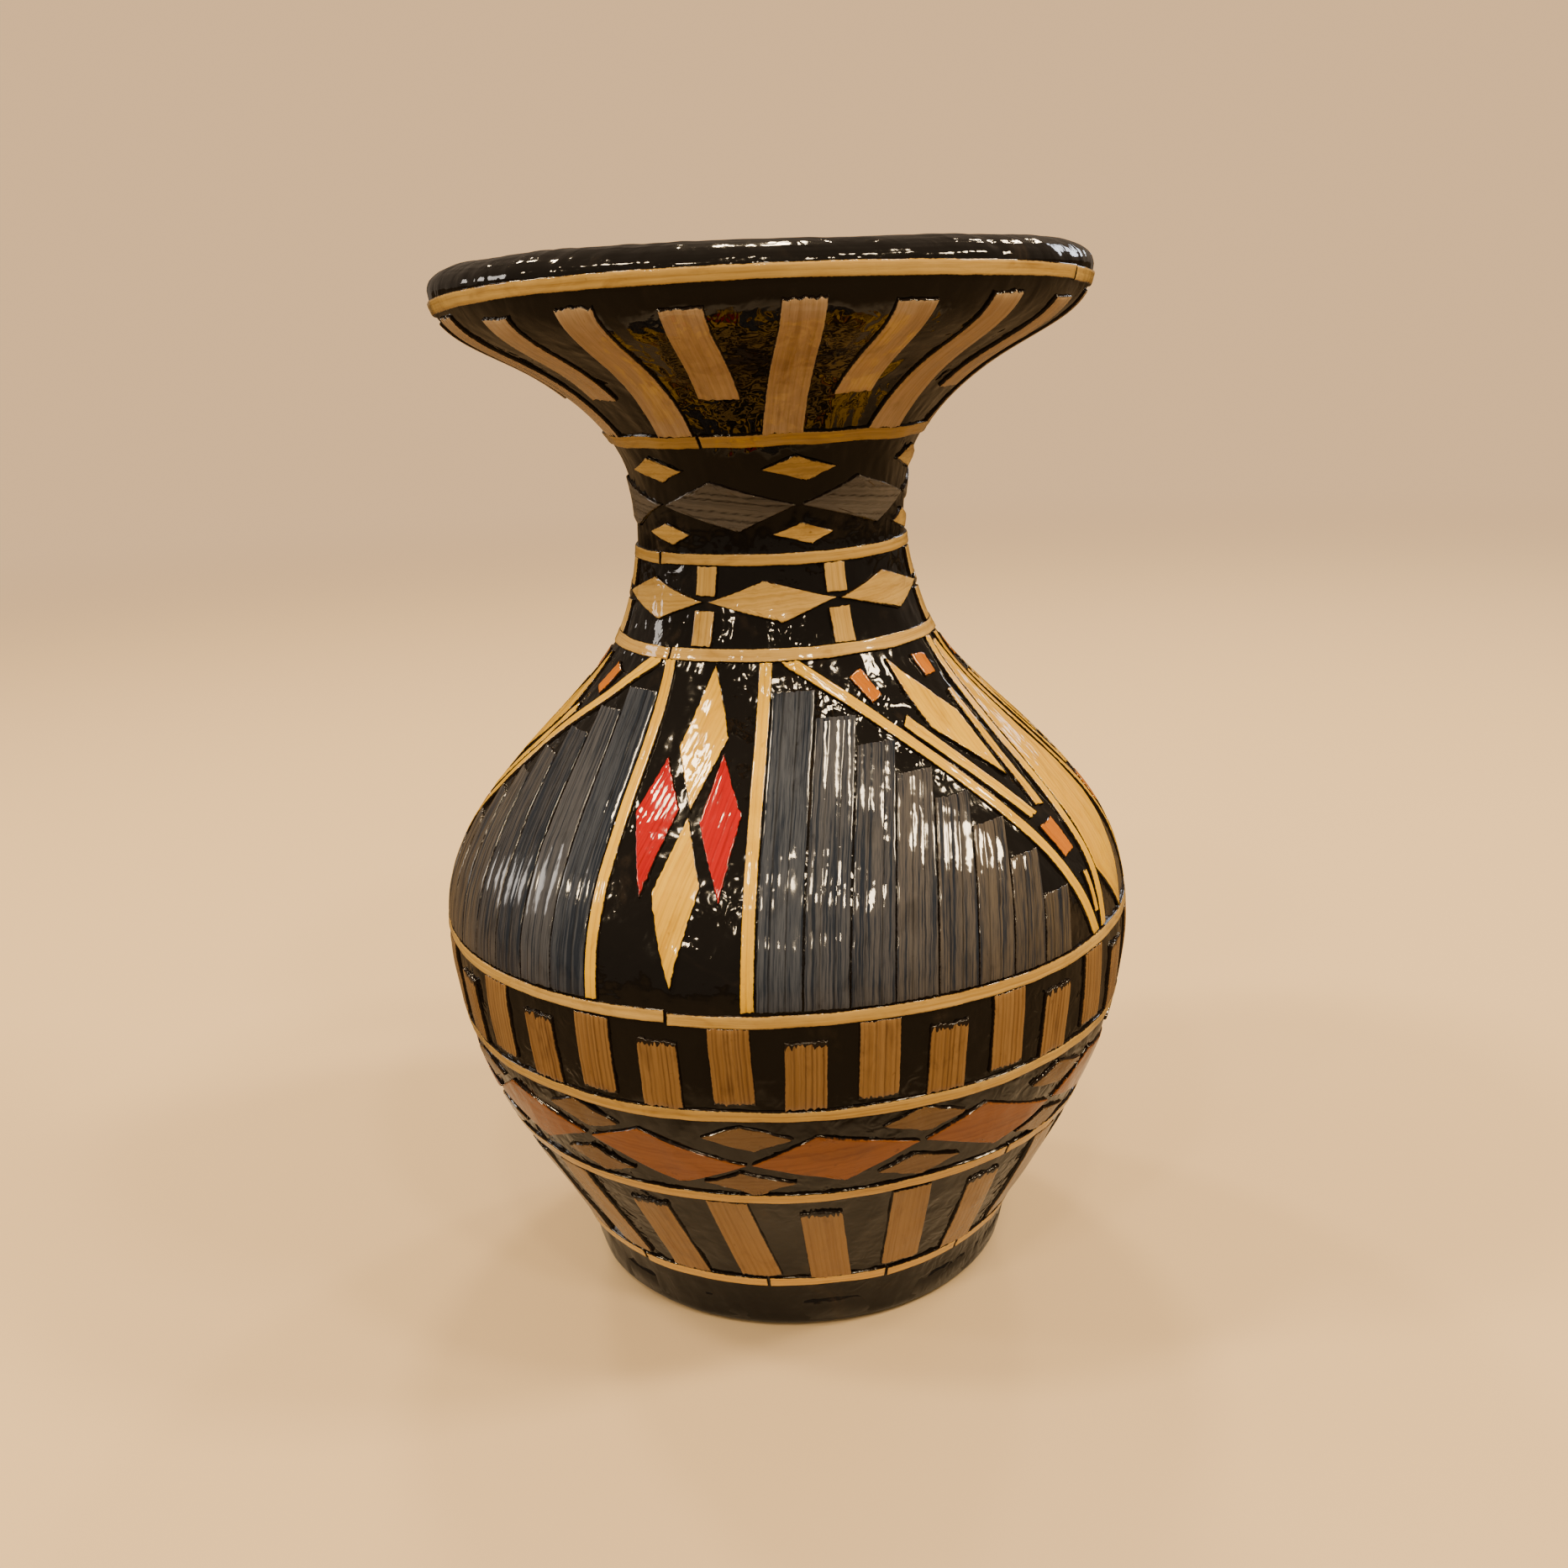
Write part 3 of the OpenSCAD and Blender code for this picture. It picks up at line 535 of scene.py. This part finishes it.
# azimuths of the butt joints, in degrees, and how far each ring wanders and arches
rings = {
    "rim_band": ([-120, 60], 0.20, 1.1),
    "throat_ring": ([-23, 190], 0.12, 0), "neck_ring": ([-52, 120], 0.15, 0),
    "shoulder_ring": ([-38.7, 150], 0.15, 0), "belly_ring": ([-17.9, 100, 215], 0.15, 0),
    "waist_ring": ([-70, 75, 200], 0.15, 0), "lower_ring": ([-95, 40, 170], 0.15, 0),
    "foot_ring": ([-41, -8, 20, 40, 110, 165, 240], 0.12, 0)}
for number, (node, (joints, wander, arch)) in enumerate(rings.items()):
    crack = 0.35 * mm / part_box(node)[1].x * 180 / math.pi
    strips = []
    for k, joint in enumerate(joints):
        stop = joints[(k + 1) % len(joints)] + (360 if k + 1 == len(joints) else 0)
        ends = joint + crack / 2, stop - crack / 2
        step = 0.4 * (-1) ** k
        strips.append(ring_strip(node, *ends, wander, arch, step, 40 + 10 * number + k, 0.1 * (k % 2)))
    add_sheets(node + "_straw", strips, cream, node)

# --- Mouth bars -----------------------------------------------------------------------------
# Whole straws, split, soaked and ironed flat, stand on the throat ring inside the flare. Long
# and short ones come by turns, and their upper ends are cut roughly.


def solids_of(node, levels):
    """The outline of each solid of a CAD node, found where its edges pass a stack of levels. The
    solids are told apart by the gaps between them round the vase. For each it gives heights and
    the azimuths of its left and right sides there."""
    edges = cad_edges(node)
    turn = np.arctan2(edges[:, :, 0], -edges[:, :, 1])
    turn = turn[:, :1] + (turn - turn[:, :1] + math.pi) % (2 * math.pi) - math.pi
    bins = 7200
    cell = 2 * math.pi / bins
    first = np.floor(turn.min(1) / cell).astype(int) % bins
    mark = np.zeros(2 * bins + 2)
    np.add.at(mark, first, 1)
    np.add.at(mark, first + np.ceil(np.ptp(turn, axis=1) / cell).astype(int) + 1, -1)
    depth = np.cumsum(mark)[:2 * bins]
    covered = depth[:bins] + depth[bins:] > 0.5
    gap = np.argmin(covered)
    starts = np.flatnonzero(np.diff(np.r_[0, np.roll(covered, -gap).astype(int)]) == 1)
    past = (turn.min(1) - gap * cell) % (2 * math.pi)
    owner = np.searchsorted(starts, past / cell + 1.5) - 1
    found = []
    for number in range(len(starts)):
        ends, angle = edges[owner == number], turn[owner == number]
        angle = angle[0, 0] + (angle - angle[0, 0] + math.pi) % (2 * math.pi) - math.pi
        bottom, top = ends[:, :, 2].min(), ends[:, :, 2].max()
        inset = (top - bottom) * 0.004
        heights = np.linspace(bottom + inset, top - inset, levels)
        z0, z1 = ends[:, 0, 2][:, None], ends[:, 1, 2][:, None]
        passes = (np.minimum(z0, z1) <= heights) & (np.maximum(z0, z1) > heights)
        crossing = angle[:, :1] + np.diff(angle) * (heights - z0) / np.where(z1 == z0, 1, z1 - z0)
        left = np.where(passes, crossing, np.inf).min(0)
        right = np.where(passes, crossing, -np.inf).max(0)
        found.append((heights, left, right))
    return found


def cut_straw(outline, seed, step, ragged, frayed, ribs, lean, tint, shift, crust, askew, sway):
    """A piece of straw over a CAD solid's outline. Rows run level and columns fan between its left
    and right sides; see add_cut_straws for the rest."""
    heights, left, right = outline
    draw = np.random.default_rng(seed)
    radius = wall_radius(heights)
    steep = np.hypot(1, wall_slope(heights))
    drift = np.diff((left + right) / 2) * radius[1:]
    path = np.r_[0, np.cumsum(np.hypot(np.diff(heights) * steep[1:], drift))]
    width = ((right - left) * radius).max()
    u, v = shares(width, step[0] * mm), shares(path[-1], step[1] * mm)
    rows = np.interp(v * path[-1], path, heights)
    nudge = draw.normal(0, shift * 0.5, 2) * mm
    turned = math.radians(draw.normal(0, askew))
    torn = [jag(len(v), ragged * mm, draw) for _ in range(2)]
    end = [jag(len(u), frayed * mm, draw) for _ in range(2)]
    caked = [crust[k] * mm * np.clip(1 + jag(len(u), 0.8, draw), 0.1, 3)[:, None] for k in range(2)]
    share, row = np.meshgrid(u, rows, indexing="ij")
    height = row + end[0][:, None] * (1 - v) + end[1][:, None] * v + nudge[1]
    local = wall_radius(height)
    side_l = np.interp(row, heights, left) + torn[0] / local
    side_r = np.interp(row, heights, right) + torn[1] / local
    side_r = np.maximum(side_r, side_l + 0.02 * mm / local)
    length = v * path[-1]
    azimuth = side_l + (side_r - side_l) * share
    azimuth = azimuth + (nudge[0] - (length - path[-1] / 2) * math.tan(turned)) / local
    height = height + sway[0] * mm * np.sin(sway[1] * azimuth + math.radians(sway[2]))
    tilt = [np.interp(rows, heights, np.gradient(s, heights) * radius / steep) for s in (left, right)]
    near = [1 / np.hypot(1, t) for t in tilt]
    span = (side_r - side_l) * local
    sides = np.minimum(share * span * near[0], (1 - share) * span * near[1])
    border = np.minimum(sides, np.minimum(length - caked[0], path[-1] - length - caked[1]))
    standing = np.minimum(sides, np.minimum(length, path[-1] - length))
    if lean is None:
        middle = np.interp(rows, heights, np.gradient((left + right) / 2, heights) * radius / steep)
        across = share * span / np.hypot(1, middle)
        across_width = np.median(span[0] / np.hypot(1, middle))
        along = length + 0 * across
    else:
        centre = ((left + right) / 2)[len(heights) // 2]
        sideways = (azimuth - centre) * local
        upward = (length - path[-1] / 2) + 0 * sideways
        turn = math.radians(lean)
        across = sideways * math.cos(turn) - upward * math.sin(turn)
        across, across_width = across - across.min(), np.ptp(across)
        along = sideways * math.sin(turn) + upward * math.cos(turn)
    dip, dark = furrows(across, across_width, *ribs, draw)
    return sheet(azimuth, height, across, along, border, standing, dip, dark, seed, tint)


def add_cut_straws(node, material, seed, step=(0.3, 0.9), ragged=0.03, frayed=0.12,
                   ribs=(1.2, 0.02, 0.3), lean=None, shade=0.15, shift=0.12, crust=(0, 0), askew=0.0,
                   sway=(0, 0, 0)):
    """Makes every solid of a CAD node as straw, and sizes are in millimetres. Step is the grid's,
    ragged and frayed tear the sides and the ends, ribs are (pitch, rise, darkness), lean is the
    grain's turn from upright in degrees, and None lets it follow the piece. Shade varies the tint,
    and shift and askew the place and the turn. Crust is the paint caked on the low and high ends,
    and sway lifts the pieces as (height, waves round the vase, phase)."""
    draw = np.random.default_rng(seed)
    sheets = [
        cut_straw(outline, seed * 100 + k, step, ragged, frayed, ribs, lean,
                  draw.uniform(-shade, shade), shift, crust, askew, sway)
        for k, outline in enumerate(solids_of(node, 160))]
    return add_sheets(node + "_straw", sheets, material, node)


tan = straw_material(
    "mouth_straw", (0.80, 0.58, 0.34), (0.58, 0.38, 0.19), (0.28, 0.15, 0.06),
    line=0.4, stains=0.35, paint=0.14)
add_cut_straws("mouth_bars_long", tan, 201, frayed=0.2, ribs=(1.4, 0.02, 0.25), askew=1.2)
add_cut_straws("mouth_bars_short", tan, 202, frayed=0.1, ribs=(1.4, 0.02, 0.25), askew=1.2)

# --- Neck lozenges --------------------------------------------------------------------------
# A row of wide lozenges dyed grey-brown, laid point to point with the grain running round the
# neck, between two rows of small cream ones that fill the angles above and below.
taupe = straw_material(
    "taupe_straw", (0.150, 0.130, 0.110), (0.075, 0.066, 0.058), (0.010, 0.008, 0.006),
    line=0.5, stains=0.3, paint=0.08)
add_cut_straws("neck_lozenges_grey", taupe, 211, (0.5, 0.28), 0.05,
               ribs=(2.0, 0.03, 1.0), lean=97)
add_cut_straws("neck_lozenges_upper", cream, 212, (0.3, 0.25), 0.16,
               ribs=(1.3, 0.02, 0.2), lean=88)
add_cut_straws("neck_lozenges_lower", cream, 213, (0.3, 0.25), 0.16,
               ribs=(1.3, 0.02, 0.2), lean=88)

# --- Collar ---------------------------------------------------------------------------------
# Cream lozenges laid point to point round the root of the neck, with a short tab of upright
# straw above and below each pair of points.
# This straw is the cream straw made lighter and more golden for the medallions and shoulder bays, which face
# up to the lamps: partly its own tone and partly painted light.
bright = straw_material(
    "golden_lit_straw", (0.90, 0.54, 0.030), (0.70, 0.36, 0.015), (0.26, 0.10, 0.006),
    line=0.4, stains=0.3, paint=0.14)
# The collar lozenges take the darker cream straw, so that the strong lamp light at the root of the neck comes
# out dimmer: painted shade.
add_cut_straws("collar_lozenges", cream, 221, (0.5, 0.28), 0.05,
               ribs=(1.7, 0.02, 0.2), lean=84)
add_cut_straws("collar_tabs_upper", cream, 222, frayed=0.08, ribs=(1.4, 0.03, 0.3), askew=1)
add_cut_straws("collar_tabs_lower", cream, 223, frayed=0.08, ribs=(1.4, 0.03, 0.3), askew=1)

# --- Medallions -----------------------------------------------------------------------------
# Two upright strips frame each medallion. Between them two cream lozenges stand one over the
# other, with a red one on either side where they meet.
add_cut_straws("medallion_strips", bright, 231, (0.22, 1.0), ribs=(1.2, 0.06, 0.3), shift=0)
add_cut_straws("medallion_lozenges_upper", bright, 232, (0.22, 0.4), 0.07,
               ribs=(1.1, 0.02, 0.35), lean=14)
add_cut_straws("medallion_lozenges_lower", bright, 233, (0.22, 0.4), 0.07,
               ribs=(1.1, 0.02, 0.35), lean=14)
red = straw_material(
    "red_straw", (0.50, 0.007, 0.010), (0.33, 0.004, 0.006), (0.10, 0.002, 0.003),
    line=0.4, stains=0.25, paint=0.12)
add_cut_straws("medallion_lozenges_red", red, 234, (0.22, 0.35), 0.1,
               ribs=(1.3, 0.04, 0.45), lean=12)

# --- Grey panels ----------------------------------------------------------------------------
# Straws dyed slate grey stand side by side on the belly ring, each cut square under the arch
# strip, so that their tops climb in steps. They took the dye unevenly: blue near the medallion
# and brown away from it.
for number in range(1, 9):
    node = f"grey_straws_{number}"
    faded = (number - 1) / 7
    slate = straw_material(
        f"slate_straw_{number}", (0.068 + 0.052 * faded, 0.078 + 0.016 * faded, 0.104 - 0.040 * faded),
        (0.015, 0.021, 0.036), (0.005, 0.005, 0.006), line=0.8, stains=0.35, paint=0.05, lumps=0.5)
    add_cut_straws(node, slate, 240 + number, (0.2, 1.0), 0.04, 0.1,
                   (2.4, 0.12, 0.9), shade=0.25, shift=0.06)

# --- Shoulder bays --------------------------------------------------------------------------
# Beside each grey panel lie an arch strip, a kite with two fan strips, three orange chips, a
# splint and an upright strip against the leaf.
add_cut_straws("arch_strips", bright, 251, (0.22, 1.0), ribs=(1.2, 0.06, 0.3), shift=0)
add_cut_straws("side_strips", bright, 252, (0.22, 1.0), ribs=(1.2, 0.06, 0.3), shift=0)
add_cut_straws("shoulder_kites", bright, 253, (0.25, 0.4), 0.08,
               ribs=(1.3, 0.03, 0.25), lean=0)
add_cut_straws("fan_strips_inner", bright, 254, (0.22, 0.5), 0.06, ribs=(1.2, 0.06, 0.5))
add_cut_straws("fan_strips_outer", bright, 255, (0.22, 0.5), 0.06, ribs=(1.2, 0.06, 0.5))
add_cut_straws("splints", bright, 256, (0.2, 0.4), 0.04, ribs=(1.2, 0.04, 0.2), shift=0)
orange = straw_material(
    "orange_straw", (0.60, 0.19, 0.008), (0.42, 0.11, 0.004), (0.16, 0.04, 0.002),
    line=0.35, stains=0.35, paint=0.12)
add_cut_straws("chips_inner", orange, 257, (0.25, 0.25), 0.08, ribs=(1.6, 0.03, 0.3))
add_cut_straws("chips_outer", orange, 258, (0.25, 0.25), 0.08, ribs=(1.6, 0.03, 0.3))
add_cut_straws("chips_lower", orange, 259, (0.25, 0.25), 0.08, ribs=(1.6, 0.03, 0.3))
add_cut_straws("side_leaves", bright, 260, (0.25, 0.6), 0.06, ribs=(1.3, 0.03, 0.35), shift=0)

# --- Belly bars -----------------------------------------------------------------------------
# Golden straws with strong brown ribs hang from the belly ring and stand on the waist ring by
# turns. The free ends are chopped and carry a crust of paint.
honey = straw_material(
    "honey_straw", (0.33, 0.188, 0.066), (0.210, 0.102, 0.030), (0.070, 0.026, 0.008),
    line=0.35, stains=0.4, paint=0.13)
add_cut_straws("belly_bars_hanging", honey, 261, (0.19, 0.8), frayed=0.12,
               ribs=(0.95, 0.035, 0.8), crust=(0.25, 0), askew=0.8)
add_cut_straws("belly_bars_standing", honey, 262, (0.19, 0.8), frayed=0.2,
               ribs=(0.95, 0.035, 0.8), crust=(0, 0.6), askew=0.8)

# --- Lower belly ----------------------------------------------------------------------------
# Smooth orange lozenges laid point to point with the grain running round the pot, and small
# tan ones with saw-cut edges above and below the points. The row wanders up and down.
amber = straw_material(
    "amber_straw", (0.28, 0.096, 0.018), (0.20, 0.058, 0.010), (0.09, 0.024, 0.005),
    line=0.4, stains=0.45, paint=0.08)
add_cut_straws("orange_lozenges", amber, 271, (0.6, 0.28), 0.04, ribs=(2.6, 0.015, 0.15),
               lean=86, sway=(1.1, 6, -27))
fawn = straw_material(
    "fawn_straw", (0.185, 0.105, 0.040), (0.130, 0.065, 0.022), (0.065, 0.026, 0.008),
    line=0.35, stains=0.4, paint=0.12)
add_cut_straws("tan_lozenges_upper", fawn, 272, (0.3, 0.3), 0.42,
               ribs=(1.2, 0.02, 0.3), lean=86, sway=(0.6, 6, -27))
add_cut_straws("tan_lozenges_lower", fawn, 273, (0.3, 0.3), 0.42,
               ribs=(1.2, 0.02, 0.3), lean=86, sway=(0.6, 6, -27))

# --- Foot bars ------------------------------------------------------------------------------
# Wide pale straws hang from the lower ring and stand on the foot ring by turns, and all of them
# lean. Their free ends are chopped and crusted with paint as the belly bars' are.
wheat = straw_material(
    "foot_straw", (0.29, 0.175, 0.065), (0.21, 0.115, 0.034), (0.10, 0.045, 0.012),
    line=0.35, stains=0.35, paint=0.13)
add_cut_straws("foot_bars_hanging", wheat, 281, (0.22, 0.8), frayed=0.12,
               ribs=(1.1, 0.025, 0.35), crust=(0.2, 0), askew=1)
add_cut_straws("foot_bars_standing", wheat, 282, (0.22, 0.8), frayed=0.2,
               ribs=(1.1, 0.025, 0.35), crust=(0, 0.7), askew=1)

# --- Floor and light ------------------------------------------------------------------------
# A wide pale floor that runs into a backdrop of its own colour. Small bright warm lamps overhead
# give the lacquer its glints, and two cool ones behind stand for windows. For every ray but the
# camera's the floor is painted dark past a small ring round the vase, a painted shade that keeps
# the vase's underside dim, and in reflections the near floor is painted a darker grey: a painted reflection.
floor_reach = 30.0
floor_pale = (0.66, 0.50, 0.30, 1)
backdrop = (1.08, 0.66, 0.32, 1)
floor_mesh = bpy.data.meshes.new("floor")
floor_corners = [(x * floor_reach, y * floor_reach, 0) for x, y in ((-1, -1), (1, -1), (1, 1), (-1, 1))]
floor_mesh.from_pydata(floor_corners, [], [(0, 1, 2, 3)])
floor = bpy.data.objects.new("floor", floor_mesh)
bpy.context.scene.collection.objects.link(floor)
floor_material, floor_tree, floor_shader = new_material("pale_floor")
spot = add_node(floor_tree, "ShaderNodeTexCoord").outputs["Object"]
away = add_node(floor_tree, "ShaderNodeVectorMath", _0=spot)
away.operation = "LENGTH"
away = away.outputs["Value"]
floor_rays = add_node(floor_tree, "ShaderNodeLightPath")
watched = floor_rays.outputs["Is Camera Ray"]
unwatched = sums(floor_tree, "SUBTRACT", 1.0, watched)
# Past 9 to 14 cm from the middle the floor turns dark brown for every ray but the camera's: painted shade on
# the vase.
painted_shade_ring = sums(floor_tree, "MULTIPLY", unwatched, ramp(floor_tree, away, 0.09, 0.14))
far = sums(floor_tree, "MULTIPLY", watched, ramp(floor_tree, away, 0.3, 1.6))
# For glossy rays the floor is painted a darker grey than it is: a painted reflection in the lacquer.
paint = blend(floor_tree, floor_rays.outputs["Is Glossy Ray"], floor_pale, (0.36, 0.31, 0.25, 1))
paint = blend(floor_tree, painted_shade_ring, paint, (0.10, 0.075, 0.05, 1))
floor_tree.links.new(blend(floor_tree, far, paint, (0, 0, 0, 1)), floor_shader.inputs["Base Color"])
floor_tree.links.new(blend(floor_tree, far, (0, 0, 0, 1), backdrop), floor_shader.inputs["Emission Color"])
floor_shader.inputs["Emission Strength"].default_value = 1.0
floor_shader.inputs["Roughness"].default_value = 1.0
floor_shader.inputs["Specular IOR Level"].default_value = 0.0
floor.data.materials.append(floor_material)

world = bpy.data.worlds.new("studio")
world.use_nodes = True
rays = add_node(world.node_tree, "ShaderNodeLightPath")
room = blend(world.node_tree, rays.outputs["Is Glossy Ray"], (0.60, 0.46, 0.31, 1), (0.18, 0.135, 0.095, 1))
room = blend(world.node_tree, rays.outputs["Is Camera Ray"], room, backdrop)
world.node_tree.links.new(room, world.node_tree.nodes["Background"].inputs["Color"])
bpy.context.scene.world = world


def add_lamp(name, azimuth, elevation, away, size, bright, colour):
    """A soft square lamp that faces the vase's middle, placed by its azimuth from -Y toward +X and
    its elevation, in degrees. Its power is its brightness times pi times its area."""
    light = bpy.data.lights.new(name, "AREA")
    light.shape = "SQUARE"
    light.size = size
    light.energy, light.color = bright * math.pi * size ** 2, colour
    lamp = bpy.data.objects.new(name, light)
    turn, rise = math.radians(azimuth), math.radians(elevation)
    aim = Vector((-math.sin(turn) * math.cos(rise), math.cos(turn) * math.cos(rise), -math.sin(rise)))
    lamp.location = Vector((0, 0, cad_high.z / 2)) - aim * away
    lamp.rotation_euler = aim.to_track_quat("-Z", "Y").to_euler()
    bpy.context.scene.collection.objects.link(lamp)


warm = (1.0, 0.76, 0.46)
cool = (0.90, 0.93, 1.0)
spots = [(27, 48, 0.115), (0, 58, 0.09), (4, 29, 0.065), (-35, 27, 0.065), (-26, 46, 0.09), (62, 62, 0.13),
         (84, 40, 0.20), (-76, 34, 0.10), (-76, 60, 0.16), (180, 55, 0.15), (150, 40, 0.11), (-140, 45, 0.13)]
for number, (azimuth, elevation, size) in enumerate(spots):
    add_lamp(f"lamp_{number}", azimuth, elevation, 1.3, size, 100, warm)
add_lamp("window_left", -104, 18, 1.3, 0.30, 8, (1.0, 0.90, 0.80))
add_lamp("window_right", 142, 22, 1.3, 0.30, 6, cool)
